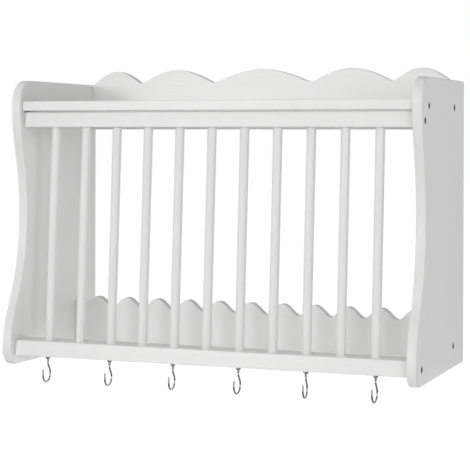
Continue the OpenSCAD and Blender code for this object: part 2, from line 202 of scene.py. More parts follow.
class Graph:
    """The node tree of one material or of the world."""

    def __init__(self, tree: bpy.types.NodeTree) -> None:
        """Empties a node tree and takes it over."""
        self.tree = tree
        self.tree.nodes.clear()

    def node(
        self,
        kind: str,
        settings: Optional[dict[str, Any]] = None,
        inputs: Optional[dict[Union[int, str], Any]] = None,
        output: Union[int, str] = 0,
    ) -> Wire:
        """Adds one node of any kind.

        Args:
            kind: The node's type.
            settings: Properties to set first.
            inputs: Numbers, colours or wires for the sockets, by index or name.
            output: The output socket to return.

        Returns:
            The output socket as a wire, or the first input for a node with no output.
        """
        made = self.tree.nodes.new(kind)
        for key, value in (settings or {}).items():
            setattr(made, key, value)
        for key, value in (inputs or {}).items():
            if isinstance(value, Wire):
                self.tree.links.new(value.socket, made.inputs[key])
            else:
                made.inputs[key].default_value = value
        return Wire(self, made.outputs[output] if made.outputs else made.inputs[0])

    def place(self) -> Wire:
        """The shaded point in the rack's frame."""
        return self.node("ShaderNodeTexCoord", output="Object")

    def ray(self, kind: str) -> Wire:
        """1 for rays of one kind, such as Camera, and 0 for the others."""
        return self.node("ShaderNodeLightPath", output=f"Is {kind} Ray")

    def noise(self, place: Wire, waves: Waves) -> Wire:
        """A noise between 0 and 1.

        Args:
            place: The point to read it at.
            waves: Its rates, octaves and offset.

        Returns:
            The noise.
        """
        shift = (waves.offset, 2 * waves.offset, -waves.offset)
        moved = {"Vector": place, "Location": shift, "Scale": waves.rates}
        spot = self.node("ShaderNodeMapping", inputs=moved)
        inputs = {"Vector": spot, "Scale": 1.0, "Detail": waves.octaves, "Roughness": OCTAVE_SHARE}
        return self.node("ShaderNodeTexNoise", inputs=inputs)

    def cells(self, place: Wire, rate: float) -> Wire:
        """The distance to the middle of the nearest of many cells."""
        inputs = {"Vector": place, "Scale": rate}
        return self.node("ShaderNodeTexVoronoi", {"feature": "F1"}, inputs, output="Distance")

    def blend(self, share: Value, low: Colour, high: Colour) -> Wire:
        """A mix of two colours, with the given share of the second."""
        inputs = {0: share, 6: (*low, 1.0), 7: (*high, 1.0)}
        return self.node("ShaderNodeMix", {"data_type": "RGBA"}, inputs, output=2)

    def bump(self, height: Value, strength: float, distance: float) -> Wire:
        """A normal that is tilted by a height map, in which 1 stands for the distance."""
        inputs = {"Strength": strength, "Distance": distance, "Height": height}
        return self.node("ShaderNodeBump", inputs=inputs)

    def glow(self, strength: Value) -> Wire:
        """White light of the given strength."""
        return self.node("ShaderNodeEmission", inputs={"Color": WHITE, "Strength": strength})

    def surface(self, shader: Wire) -> None:
        """Ends the tree of a material."""
        self.node("ShaderNodeOutputMaterial", inputs={"Surface": shader})


def new_graph(name: str) -> tuple[bpy.types.Material, Graph]:
    """Makes a material.

    Args:
        name: Its name.

    Returns:
        The material, and its graph to fill.
    """
    material = bpy.data.materials.new(name)
    material.use_nodes = True
    return material, Graph(material.node_tree)


# Finishes


@dataclass(frozen=True)
class Finish:
    """A finish between two colours, with a range of roughness and a fine relief."""

    name: str
    dull: Colour
    bright: Colour
    metallic: float
    # The roughness where its pattern is 0, and how much rougher it is where the pattern is 1
    smoothest: float
    roughening: float
    # The depth of the relief, and how much of its tilt shows
    relief: float
    relief_strength: float

    def patterns(self, graph: Graph, place: Wire) -> Patterns:
        """The patterns of the colour, the roughness and the relief at a place, each from 0 to 1."""
        raise NotImplementedError

    def material(self) -> bpy.types.Material:
        """Makes the material.

        Returns:
            The material.
        """
        material, graph = new_graph(self.name)
        tone, wear, height = self.patterns(graph, graph.place())
        inputs = {
            "Base Color": graph.blend(tone, self.dull, self.bright),
            "Metallic": self.metallic,
            "Roughness": self.smoothest + self.roughening * wear,
            "Normal": graph.bump(height, self.relief_strength, self.relief),
        }
        graph.surface(graph.node("ShaderNodeBsdfPrincipled", inputs=inputs))
        return material


@dataclass(frozen=True)
class SatinPaint(Finish):
    """White satin paint, through which the grain of the wood shows faintly."""

    dull: Colour = (0.805, 0.805, 0.80)
    bright: Colour = (0.84, 0.84, 0.837)
    metallic: float = 0.0
    smoothest: float = 0.28
    roughening: float = 0.06
    relief: float = 0.00044
    relief_strength: float = 1.0
    grain: Grain = Grain.UPRIGHT
    # The rates of the streaks and bands are those of upright grain
    streaks: Waves = Waves((300.0, 300.0, 6.0), 3.0, 3.1)
    bands: Waves = Waves((66.0, 66.0, 1.32), 2.0, 7.7)
    drift: Waves = Waves((4.0, 4.0, 4.0), 2.0, 1.3)
    stipple: Waves = Waves((900.0, 900.0, 900.0), 1.0, 5.2)
    streaks_in_wood: float = 0.8
    wood_in_tone: float = 0.6
    wood_in_relief: float = 0.9

    def turned(self, waves: Waves) -> Waves:
        """Turns waves of upright grain to the grain of this finish."""
        return replace(waves, rates=waves.rates[::-1]) if self.grain is Grain.ACROSS else waves

    def wood(self, graph: Graph, place: Wire) -> Wire:
        """The grain, of fine streaks and coarser bands."""
        streaks, bands = (graph.noise(place, self.turned(waves)) for waves in (self.streaks, self.bands))
        return weighted(self.streaks_in_wood, streaks, bands)

    def patterns(self, graph: Graph, place: Wire) -> Patterns:
        """Draws the grain with a slow drift, the drift alone, and the grain with a roller's stipple.

        Args:
            graph: The material's graph.
            place: The shaded point.

        Returns:
            The three patterns.
        """
        wood, drift = self.wood(graph, place), graph.noise(place, self.drift)
        relief = weighted(self.wood_in_relief, wood, graph.noise(place, self.stipple))
        return weighted(self.wood_in_tone, wood, drift), drift, relief


@dataclass(frozen=True)
class BrightNickel(Finish):
    """Polished nickel plate with faint draw marks and a slightly duller skin in places."""

    dull: Colour = (0.38, 0.38, 0.385)
    bright: Colour = (0.48, 0.48, 0.485)
    metallic: float = 1.0
    smoothest: float = 0.10
    roughening: float = 0.08
    relief: float = 0.00002
    relief_strength: float = 0.25
    clouds: Waves = Waves((260.0, 260.0, 260.0), 2.0, 2.4)
    marks: Waves = Waves((2400.0, 2400.0, 500.0), 1.0, 9.1)

    def patterns(self, graph: Graph, place: Wire) -> Patterns:
        """Clouds for the skin, and draw marks for the relief."""
        clouds = graph.noise(place, self.clouds)
        return clouds, clouds, graph.noise(place, self.marks)


@dataclass(frozen=True)
class DarkZinc(Finish):
    """The dark plating of the connector screws, rubbed a little lighter in patches."""

    dull: Colour = (0.012, 0.012, 0.013)
    bright: Colour = (0.035, 0.035, 0.037)
    metallic: float = 0.70
    smoothest: float = 0.52
    roughening: float = 0.16
    relief: float = 0.00003
    relief_strength: float = 0.2
    rub: Waves = Waves((700.0, 700.0, 700.0), 3.0, 4.6)

    def patterns(self, graph: Graph, place: Wire) -> Patterns:
        """The rubbed patches, for all three."""
        rub = graph.noise(place, self.rub)
        return rub, rub, rub


@dataclass(frozen=True)
class ZincPlate(Finish):
    """Pressed steel with bright zinc, faintly spangled."""

    dull: Colour = (0.50, 0.51, 0.53)
    bright: Colour = (0.66, 0.67, 0.69)
    metallic: float = 1.0
    smoothest: float = 0.28
    roughening: float = 0.12
    relief: float = 0.00002
    relief_strength: float = 0.2
    spangle_rate: float = 260.0
    rolled: Waves = Waves((90.0, 90.0, 1500.0), 2.0, 6.3)
    spangle_in_tone: float = 0.5

    def patterns(self, graph: Graph, place: Wire) -> Patterns:
        """Spangles with the marks of the rolls, spangles alone, and the marks alone."""
        spangle, rolled = graph.cells(place, self.spangle_rate), graph.noise(place, self.rolled)
        return weighted(self.spangle_in_tone, spangle, rolled), spangle, rolled


@dataclass(frozen=True)
class BareBeech(Finish):
    """Unpainted beech with its short dark flecks."""

    dull: Colour = (0.42, 0.25, 0.13)
    bright: Colour = (0.62, 0.42, 0.24)
    metallic: float = 0.0
    smoothest: float = 0.55
    roughening: float = 0.15
    relief: float = 0.00008
    relief_strength: float = 0.3
    flecks: Waves = Waves((260.0, 1600.0, 1600.0), 2.0, 8.2)
    rings: Waves = Waves((8.0, 420.0, 420.0), 2.0, 1.9)
    flecks_in_tone: float = 0.5

    def patterns(self, graph: Graph, place: Wire) -> Patterns:
        """Flecks with the year rings, the rings alone, and the flecks alone."""
        flecks, rings = (graph.noise(place, waves) for waves in (self.flecks, self.rings))
        return weighted(self.flecks_in_tone, flecks, rings), rings, flecks


# Outlines and profiles


def arc(centre: Point2, radius: float, start: float, end: float, chords: int) -> list[Point2]:
    """Points of an arc with both its ends, cut into chords. The angles are in degrees."""
    angles = (math.radians(start + (end - start) * i / chords) for i in range(chords + 1))
    return [(centre[0] + radius * math.cos(a), centre[1] + radius * math.sin(a)) for a in angles]


def circle(radius: float, flats: int) -> list[Point2]:
    """The corners of a circle about the origin."""
    return arc((0.0, 0.0), radius, 0, 360, flats)[:-1]


def ogee(start: Point2, end: Point2, share: float, chords: int = 16) -> list[Point2]:
    """Two arcs that meet on a common tangent, with both ends parallel to the first axis.

    Args:
        start: The first point.
        end: The last point.
        share: The first arc's share of the two radii together.
        chords: The number of chords in each arc.

    Returns:
        The points, with both ends.
    """
    run, rise = end[0] - start[0], end[1] - start[1]
    side = math.copysign(1, rise)
    turn = 2 * math.degrees(math.atan2(abs(rise), run))
    radii = run / math.sin(math.radians(turn))
    first, second = radii * share, radii * (1 - share)
    before = arc((start[0], start[1] + side * first), first, -90 * side, (turn - 90) * side, chords)
    after = arc((end[0], end[1] - side * second), second, (turn + 90) * side, 90 * side, chords)
    return before + after[1:]


def arch(t: float, rounding: float) -> float:
    """The height, from 0 to 1, of an arch with rounded valleys at a place t from 0 to 1."""
    sine = math.sin(math.pi * t)
    return (math.hypot(sine, rounding) - rounding) / (math.hypot(1.0, rounding) - rounding)


@dataclass(frozen=True)
class Thread:
    """A thread's ridges, with their corners in shares of the radius and of the pitch."""

    start: float
    turns: int
    pitch: float
    ridge: tuple[Point2, ...]

    def profile(self, radius: float) -> list[Point2]:
        """The ridges as a turned profile, for the outer radius."""
        ridges = [self.start + k * self.pitch for k in range(self.turns)]
        return [(radius * out, low + along * self.pitch) for low in ridges for out, along in self.ridge]


# Mesh work


def object_of(name: str, data: MeshData) -> Piece:
    """Turns mesh data into an object in the scene.

    Args:
        name: The object's name.
        data: The mesh data, which is freed.

    Returns:
        The object.
    """
    bmesh.ops.recalc_face_normals(data, faces=data.faces)
    mesh = bpy.data.meshes.new(name)
    data.to_mesh(mesh)
    data.free()
    made = bpy.data.objects.new(name, mesh)
    bpy.context.scene.collection.objects.link(made)
    return made


def join(data: MeshData, rings: Sequence[Sequence[bmesh.types.BMVert]]) -> None:
    """Joins rings of vertices with faces, each ring to the next.

    Args:
        data: The mesh data that holds them.
        rings: The rings, all of one length, or of length 1 for a tip.
    """
    for below, above in zip(rings, rings[1:]):
        for i in range(max(len(below), len(above))):
            corners = ((below, i), (below, i + 1), (above, i + 1), (above, i))
            face = list(dict.fromkeys(ring[k % len(ring)] for ring, k in corners))
            if len(face) > 2:
                data.faces.new(face)


def prism(name: str, outline: Sequence[Point2], low: float, high: float, plane: Plane) -> Piece:
    """Makes a board from its outline.

    Args:
        name: The object's name.
        outline: The outline's corners, heights in the rack's frame.
        low: Where the extrusion starts: an x, or for a facing board a depth.
        high: Where it ends.
        plane: The plane of the outline.

    Returns:
        The board, with sharp edges.
    """
    data = bmesh.new()
    rings = []
    for level in (low, high):
        if plane is Plane.SIDE:
            corners = [(level, -depth, height) for depth, height in outline]
        else:
            corners = [(x, -level, height) for x, height in outline]
        rings.append([data.verts.new(corner) for corner in corners])
        data.faces.new(rings[-1])
    join(data, rings)
    return object_of(name, data)


def lathe(data: MeshData, profile: Sequence[Point2], frame: Matrix, segments: int) -> None:
    """Adds a turned solid to mesh data.

    Args:
        data: The mesh data to add to.
        profile: (radius, height) from one end to the other, with radius 0 at both ends.
        frame: Where the axis stands: +Z of this frame is up the profile.
        segments: The number of flats round it.
    """
    rings = []
    for radius, height in profile:
        corners = circle(radius, segments if radius > 0 else 1)
        rings.append([data.verts.new(frame @ Vector((x, y, height))) for x, y in corners])
    join(data, rings)


def sweep(
    data: MeshData, path: Sequence[Vector], radii: Sequence[float], side: Vector, segments: int
) -> None:
    """Adds a round bar along a flat path to mesh data.

    Args:
        data: The mesh data to add to.
        path: The points of the centre line, all in one plane.
        radii: The bar's radius at each point.
        side: The direction square to the path's plane.
        segments: The number of flats round it.
    """
    rings = []
    for i, (point, radius) in enumerate(zip(path, radii)):
        along = (path[min(i + 1, len(path) - 1)] - path[max(i - 1, 0)]).normalized()
        out = along.cross(side).normalized()
        corners = [point + radius * (u * out + v * side) for u, v in circle(1.0, segments)]
        rings.append([data.verts.new(corner) for corner in corners])
    join(data, rings)
    data.faces.new(rings[0])
    data.faces.new(rings[-1])


def frame_between(start: Vector, end: Vector) -> Matrix:
    """A frame at the start whose +Z points to the end."""
    return Matrix.Translation(start) @ (end - start).to_track_quat("Z", "Y").to_matrix().to_4x4()


def bore(start: Vector, end: Vector, diameter: float, segments: int = 40) -> Piece:
    """Makes a round cutter between two points.

    Args:
        start: The middle of one end.
        end: The middle of the other end.
        diameter: The bore's diameter.
        segments: The number of flats round it.

    Returns:
        The cutter.
    """
    data = bmesh.new()
    radius, length = diameter / 2, (end - start).length
    profile = [(0, 0), (radius, 0), (radius, length), (0, length)]
    lathe(data, profile, frame_between(start, end), segments)
    return object_of("bore", data)


def settle(piece: Piece) -> None:
    """Applies all modifiers of a piece.

    Args:
        piece: The piece.
    """
    bpy.context.view_layer.update()
    evaluated = piece.evaluated_get(bpy.context.evaluated_depsgraph_get())
    mesh = bpy.data.meshes.new_from_object(evaluated)
    piece.modifiers.clear()
    piece.data = mesh


def ease(piece: Piece, radius: float, strips: int = 3, corner: float = 40.0) -> None:
    """Rounds a piece's sharp edges.

    Args:
        piece: The piece.
        radius: The width of the rounding.
        strips: The number of strips in it.
        corner: Edges sharper than this many degrees are rounded.
    """
    bevel = piece.modifiers.new("eased", "BEVEL")
    bevel.width = radius
    bevel.segments = strips
    bevel.limit_method = "ANGLE"
    bevel.angle_limit = math.radians(corner)
    bevel.use_clamp_overlap = True
    settle(piece)


def cut(piece: Piece, cutters: Sequence[Piece]) -> None:
    """Takes cutters out of a piece and removes them.

    Args:
        piece: The piece.
        cutters: Closed solids.
    """
    for cutter in cutters:
        difference = piece.modifiers.new("cut", "BOOLEAN")
        difference.operation = "DIFFERENCE"
        difference.solver = "EXACT"
        difference.object = cutter
    settle(piece)
    for cutter in cutters:
        bpy.data.objects.remove(cutter)


def shade(piece: Piece, crease: float = 50.0) -> None:
    """Shades a piece smoothly, with flat faces kept flat.

    Args:
        piece: The piece.
        crease: Edges sharper than this many degrees stay sharp.
    """
    piece.data.shade_smooth()
    piece.data.set_sharp_from_angle(angle=math.radians(crease))
    normals = piece.modifiers.new("weighted", "WEIGHTED_NORMAL")
    normals.keep_sharp = True
    normals.weight = 100
    settle(piece)


@dataclass
class Workshop:
    """Hands finished pieces to the frame, and keeps one material for each finish."""

    frame: dict[str, Any]
    materials: dict[str, bpy.types.Material] = field(default_factory=dict)

    def coat(self, mesh: bpy.types.Mesh, finish: Finish) -> None:
        """Gives a mesh the material of a finish.

        Args:
            mesh: The mesh.
            finish: The finish, whose material is made the first time.
        """
        if finish.name not in self.materials:
            self.materials[finish.name] = finish.material()
        mesh.materials.clear()
        mesh.materials.append(self.materials[finish.name])

    def deliver(self, piece: Piece, nodes: Sequence[str], finish: Finish, slot: Slot) -> None:
        """Gives a piece its finish and its place in the frame.

        Args:
            piece: The piece, in place.
            nodes: The CAD nodes that it stands for.
            finish: Its finish.
            slot: The record's material slot; not used.
        """
        self.coat(piece.data, finish)
        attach(piece, "root")
        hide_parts(*nodes)
        log.info("%s: %d faces, for %s", piece.name, len(piece.data.polygons), ", ".join(nodes))

    def dress(self, node: str, finish: Finish) -> None:
        """Gives a CAD node that stays its finish."""
        self.coat(self.frame["nodes"][node].data, finish)
        log.info("%s: finished as packed", node)


# Sub-assemblies


@dataclass(frozen=True)
class RackSizes:
    """The sizes that several sub-assemblies share."""

    width: float = 0.700
    board: float = 0.016
    side_height: float = 0.471
    shelf_top: float = 0.436
    shelf_bottom: float = 0.420
    shelf_depth: float = 0.2815
    origin_height: float = 0.440
    rail_height: float = 0.025
    top_rail: float = 0.393
    bottom_rail: float = 0.016
    spindle_count: int = 11
    # Depth and height of the connector screws in each side panel, by CAD node
    screw_spots: tuple[tuple[str, tuple[Point2, ...]], ...] = (
        ("shelf_screws", ((0.2455, 0.426), (0.072, 0.426))),
        ("top_rail_screws", ((0.2695, 0.403),)),
        ("bottom_rail_screws", ((0.287, 0.026),)),
        ("lower_board_screws", ((0.0765, 0.036),)),
    )

    @property
    def inner(self) -> float:
        """Half the distance between the side panels."""
        return self.width / 2 - self.board

    def up(self, height: float) -> float:
        """A height over the panels' bottom edge, as Z in the rack's frame."""
        return height - self.origin_height

    def spindle_x(self, i: int) -> float:
        """The middle of spindle i, counted from 1 at the left."""
        gaps = self.spindle_count + 1
        return (i - gaps / 2) * 2 * self.inner / gaps


@dataclass
class SubAssembly:
    """Pieces of one kind, made from the rack's sizes."""

    rack: RackSizes

    def pieces(self) -> NamedPieces:
        """Makes the pieces."""
        raise NotImplementedError

    def dress(self, shop: Workshop, finish: Finish, slot: Slot) -> None:
        """Makes, finishes and delivers the pieces."""
        for node, piece in self.pieces():
            shop.deliver(piece, [node], finish, slot)


@dataclass
class SidePanels(SubAssembly):
    """The two S-shaped side panels."""

    belly: float = 0.321
    waist: float = 0.264
    waist_height: float = 0.247
    chest: float = 0.2895
    top_corner: float = 0.040
    bottom_corner: float = 0.026
    belly_share: float = 0.315
    waist_share: float = 0.6
    easing: float = 0.0022
    counterbore_d: float = 0.0112
    counterbore_depth: float = 0.0036

    def outline(self) -> list[Point2]:
        """Draws a panel.

        Returns:
            Its corners, as depth and height in the rack's frame.
        """
        chest_height = self.rack.side_height - self.top_corner
        waist = (self.waist_height, self.waist)
        lower = ogee((self.bottom_corner, self.belly), waist, self.belly_share)
        upper = ogee(waist, (chest_height, self.chest), self.waist_share)
        foot = (self.belly - self.bottom_corner, self.bottom_corner)
        points = [(0.0, 0.0)]
        points += arc(foot, self.bottom_corner, -90, 0, chords=12)
        points += [(depth, height) for height, depth in lower[1:-1] + upper[:-1]]
        points += arc((self.chest - self.top_corner, chest_height), self.top_corner, 0, 90, chords=16)
        points.append((0.0, self.rack.side_height))
        return [(depth, self.rack.up(height)) for depth, height in points]

    def build(self, side: int, word: str) -> Piece:
        """Makes one panel with its eased edges and counterbores.

        Args:
            side: -1 for the left panel and 1 for the right one.
            word: The side in words.

        Returns:
            The panel.
        """
        outer, inner = side * self.rack.width / 2, side * self.rack.inner
        low, high = sorted((outer, inner))
        panel = prism(f"painted_{word}_side_panel", self.outline(), low, high, Plane.SIDE)
        ease(panel, self.easing, strips=4)
        cutters = []
        for depth, height in (spot for _, spots in self.rack.screw_spots for spot in spots):
            mouth = Vector((outer + side * OVER, -depth, self.rack.up(height)))
            floor = Vector((outer - side * self.counterbore_depth, -depth, self.rack.up(height)))
            cutters.append(bore(mouth, floor, self.counterbore_d))
        cut(panel, cutters)
        shade(panel)
        return panel

    def pieces(self) -> NamedPieces:
        """Makes both panels."""
        for side, word in SIDES:
            yield f"{word}_side_panel", self.build(side, word)


@dataclass
class CrossBoards(SubAssembly):
    """The shelf, the two back boards and the two front rails between the panels."""

    # What the hangers and screws take out of the top back board
    recesses: Sequence[Piece]
    shelf_easing: float = 0.0012
    board_easing: float = 0.0015
    rail_easing: float = 0.0014
    # Between the angle of the wave's facets and the angle of a board's ends, in degrees
    board_corner: float = 55.0
    top_board_bottom: float = 0.3903
    valley_up: float = 0.0025
    wave_rise: float = 0.0225
    wave_lengths: tuple[float, ...] = (98, 141, 180, 146, 103)
    wave_round: float = 0.09
    wave_steps: int = 36
    lower_board_bottom: float = 0.016
    lower_board_depth: float = 0.0845
    notch_height: float = 0.0753
    notch_rise: float = 0.0185
    notch_pitch: float = 0.0578
    notch_shift: float = -0.0018
    notch_round: float = 0.6
    notch_steps: int = 300
    # The depths of the rails' back faces and front bottom edges
    top_rail_depths: Point2 = (0.253, 0.277)
    bottom_rail_depths: Point2 = (0.258, 0.309)
    rail_lean: float = 6.0

    def bar(
        self, name: str, depths: Point2, heights: Point2, easing: float, lean: float = 0.0
    ) -> Piece:
        """Makes a shelf or rail from panel to panel.

        Args:
            name: The object's name.
            depths: The depths of its back face and of its front bottom edge.
            heights: The heights of its lower and upper face.
            easing: The rounding of its edges.
            lean: How far its front face leans back at the top, in degrees.

        Returns:
            The piece.
        """
        (back, front), (low, high) = depths, heights
        front_top = front - (high - low) * math.tan(math.radians(lean))
        outline = [(back, low), (front, low), (front_top, high), (back, high)]
        section = [(depth, self.rack.up(height)) for depth, height in outline]
        piece = prism(name, section, -self.rack.inner, self.rack.inner, Plane.SIDE)
        ease(piece, easing)
        shade(piece)
        return piece

    def waves(self) -> list[Point2]:
        """Draws the upper edge of the top back board.

        Returns:
            Its points from left to right, as x and height.
        """
        inner, end = self.rack.inner, self.rack.side_height
        count, whole = len(self.wave_lengths), sum(self.wave_lengths)
        levels = [end] + [end + self.valley_up] * (count - 1) + [end]
        valleys = [2 * inner * (sum(self.wave_lengths[:i]) / whole - 0.5) for i in range(count + 1)]
        points = []
        for i in range(count):
            for t in (j / self.wave_steps for j in range(self.wave_steps)):
                x = valleys[i] + (valleys[i + 1] - valleys[i]) * t
                base = levels[i] + (levels[i + 1] - levels[i]) * t
                points.append((x, base + self.wave_rise * arch(t, self.wave_round)))
        return points + [(inner, end)]

    def notches(self) -> list[Point2]:
        """Draws the upper edge of the lower back board.

        Returns:
            Its points from left to right, as x and height.
        """
        points = []
        for i in range(self.notch_steps + 1):
            x = self.rack.inner * (2 * i / self.notch_steps - 1)
            t = (x - self.notch_shift) / self.notch_pitch + 0.5
            points.append((x, self.notch_height + self.notch_rise * arch(t, self.notch_round)))
        return points

    def facing(
        self, name: str, edge: Sequence[Point2], bottom: float, front: float, cutters: Sequence[Piece]
    ) -> Piece:
        """Makes a board that faces the room, with a shaped upper edge.

        Args:
            name: The object's name.
            edge: The upper edge from left to right, as x and height.
            bottom: The height of the lower edge.
            front: The depth of the front face.
            cutters: Solids to take out of it.

        Returns:
            The board.
        """
        outline = [(self.rack.inner, bottom), (-self.rack.inner, bottom), *edge]
        lifted = [(x, self.rack.up(height)) for x, height in outline]
        board = prism(name, lifted, front - self.rack.board, front, Plane.FACING)
        ease(board, self.board_easing, corner=self.board_corner)
        if cutters:
            cut(board, cutters)
        shade(board)
        return board

    def pieces(self) -> NamedPieces:
        """Makes the shelf, the boards and the rails.

        Yields:
            Each one's CAD node and the piece.
        """
        rack = self.rack
        depths, heights = (rack.board, rack.shelf_depth), (rack.shelf_bottom, rack.shelf_top)
        yield "shelf_board", self.bar("painted_shelf", depths, heights, self.shelf_easing)
        boards = (
            ("top_back_board", self.waves(), self.top_board_bottom, rack.board, self.recesses),
            ("lower_back_board", self.notches(), self.lower_board_bottom, self.lower_board_depth, ()),
        )
        for node, *shape in boards:
            yield node, self.facing(f"painted_{node}", *shape)
        rails = (
            ("top", self.top_rail_depths, rack.top_rail),
            ("bottom", self.bottom_rail_depths, rack.bottom_rail),
        )
        for word, depths, low in rails:
            heights = (low, low + rack.rail_height)
            rail = self.bar(f"painted_{word}_rail", depths, heights, self.rail_easing, self.rail_lean)
            yield f"{word}_front_rail", rail


@dataclass
class Spindles(SubAssembly):
    """The leaning row of round spindles, with their ends in the rails' sockets."""

    # The depths of the axis at the bottom rail's upper face and at the top rail's lower face
    foot_depth: float = 0.288
    head_depth: float = 0.265
    diameter: float = 0.015
    socket: float = 0.010
    chamfer: float = 0.001
    rings: int = 12
    segments: int = 56

    def build(self, i: int) -> Piece:
        """Makes one spindle.

        Args:
            i: Its number from the left, from 1.

        Returns:
            The spindle.
        """
        x, rack = self.rack.spindle_x(i), self.rack
        foot = Vector((x, -self.foot_depth, rack.up(rack.bottom_rail + rack.rail_height)))
        head = Vector((x, -self.head_depth, rack.up(rack.top_rail)))
        radius, tip = self.diameter / 2, self.diameter / 2 - self.chamfer
        low, high = -self.socket, (head - foot).length + self.socket
        step = (high - low - 2 * self.chamfer) / self.rings
        shaft = [(radius, low + self.chamfer + k * step) for k in range(self.rings + 1)]
        profile = [(0.0, low), (tip, low), *shaft, (tip, high), (0.0, high)]
        data = bmesh.new()
        lathe(data, profile, frame_between(foot, head), self.segments)
        spindle = object_of(f"painted_spindle_{i}", data)
        shade(spindle)
        return spindle

    def pieces(self) -> NamedPieces:
        """Makes the spindles from left to right."""
        for i in range(1, self.rack.spindle_count + 1):
            yield f"spindle_{i}", self.build(i)


@dataclass
class CupHooks(SubAssembly):
    """The bent wire cup hooks with their collars, screwed into the bottom rail.

    Their heights are over the rail's lower face, so what hangs under it is below 0.
    """

    depth: float = 0.302
    shift: float = 0.0037
    # The turns about the upright axis, in degrees, from left to right
    turns: tuple[float, ...] = (90, 90, 91, 87, 93, 87)
    wire_d: float = 0.0032
    # How far the wire runs up into the neck, and its straight part below the neck
    lap: float = 0.0004
    lead: float = 0.0032
    bend: float = 35.0
    bend_r: float = 0.004
    slant: float = 0.0083
    slant_steps: int = 4
    bow_r: float = 0.0127
    tip_length: float = 0.0091
    tip_steps: int = 6
    # The rounded tip: rises over its straight part, with shares of the wire's radius
    tip_rounding: tuple[Point2, ...] = ((0.0009, 0.97), (0.0013, 0.86), (0.0016, 0.62))
    collar_d: float = 0.009
    collar_taper: float = 0.0016
    collar: float = 0.0032
    collar_edge: float = 0.0004
    # The collar's swell, as shares of its taper and height, and its shoulder as a share of its height
    collar_swell: Point2 = (0.18, 0.55)
    collar_shoulder: float = 0.22
    neck: float = 0.005
    neck_flare: float = 0.0012
    # The neck: shares of its flare, with rises over its lower end and over the collar's lower face
    neck_foot: tuple[Point2, ...] = ((0.10, 0.0002), (0.36, 0.0007), (0.45, 0.0013))
    neck_head: tuple[Point2, ...] = ((0.45, -0.0004), (0.60, -0.0001), (0.80, 0.0))
    # The neck's end in the wire: a share of the wire's radius, and how deep it is
    neck_end: Point2 = (0.96, 0.0002)
    shank_d: float = 0.003
    shank: float = 0.011
    shank_core: float = 0.8
    # The start of the shank's point: a share of its radius, and how far it is from the end
    shank_point: Point2 = (0.7, 0.0012)
    thread: Thread = Thread(0.0003, 8, 0.0011, ((0.78, 0.0), (1.0, 0.45), (1.0, 0.55)))

    def centre_line(self) -> list[Point2]:
        """Draws the wire's middle.

        Returns:
            Its points from the neck to the tip, as distance out from the shank's axis and height.
        """
        top = -self.collar - self.neck
        cosine, sine = math.cos(math.radians(self.bend)), math.sin(math.radians(self.bend))
        points = [(0.0, top + self.lap), (0.0, top - self.lead / 2)]
        points += arc((-self.bend_r, top - self.lead), self.bend_r, 0, -self.bend, chords=8)
        out, up = points[-1]
        steps = [self.slant * k / self.slant_steps for k in range(1, self.slant_steps + 1)]
        points += [(out - sine * step, up - cosine * step) for step in steps]
        out, up = points[-1]
        centre = (out + self.bow_r * cosine, up - self.bow_r * sine)
        points += arc(centre, self.bow_r, 180 - self.bend, 360, chords=36)[1:]
        out, up = points[-1]
        step = (self.tip_length - self.wire_d / 2) / self.tip_steps
        return points + [(out, up + k * step) for k in range(1, self.tip_steps + 1)]

    def shank_profile(self) -> list[Point2]:
        """Draws the neck, the collar and the threaded shank.

        Returns:
            Their turned profile from the neck's end upwards, as radius and height.
        """
        wire, rim, shank, edge = self.wire_d / 2, self.collar_d / 2, self.shank_d / 2, self.collar_edge
        foot = rim - self.collar_taper / 2
        top = -self.collar - self.neck
        end_share, end = self.neck_end
        point_share, point = self.shank_point
        swell, swell_height = self.collar_swell
        profile = [(0.0, top - end), (wire * end_share, top - end)]
        profile += [(wire + self.neck_flare * out, top + up) for out, up in self.neck_foot]
        profile += [(wire + self.neck_flare * out, up - self.collar) for out, up in self.neck_head]
        profile += [
            (foot - edge, -self.collar),
            (foot - edge / 4, edge / 4 - self.collar),
            (foot, edge - self.collar),
            (foot + self.collar_taper * swell, -self.collar * swell_height),
            (rim - edge / 4, -self.collar * self.collar_shoulder),
            (rim, -edge),
            (rim - edge / 2, 0.0),
            (shank * self.shank_core, 0.0),
        ]
        profile += self.thread.profile(shank)
        return profile + [(shank * point_share, self.shank - point), (0.0, self.shank)]

    def build(self, i: int) -> Piece:
        """Makes one hook.

        Args:
            i: Its number from the left, from 1.

        Returns:
            The hook.
        """
        x = self.rack.spindle_x(2 * i - 1) + self.shift
        base = Vector((x, -self.depth, self.rack.up(self.rack.bottom_rail)))
        turn = math.radians(180 + self.turns[i - 1])
        frame = Matrix.Translation(base) @ Matrix.Rotation(turn, 4, "Z")
        data = bmesh.new()
        lathe(data, self.shank_profile(), frame, segments=36)
        path = [frame @ Vector((out, 0.0, up)) for out, up in self.centre_line()]
        radii = [self.wire_d / 2] * len(path)
        tip = path[-1]
        for rise, share in self.tip_rounding:
            path.append(tip + Vector((0.0, 0.0, rise)))
            radii.append(self.wire_d / 2 * share)
        side = (frame.to_3x3() @ Vector((0.0, 1.0, 0.0))).normalized()
        sweep(data, path, radii, side, segments=24)
        hook = object_of(f"nickel_cup_hook_{i}", data)
        shade(hook, crease=60.0)
        return hook

    def pieces(self) -> NamedPieces:
        """Makes the hooks from left to right."""
        for i in range(1, len(self.turns) + 1):
            yield f"cup_hook_{i}", self.build(i)


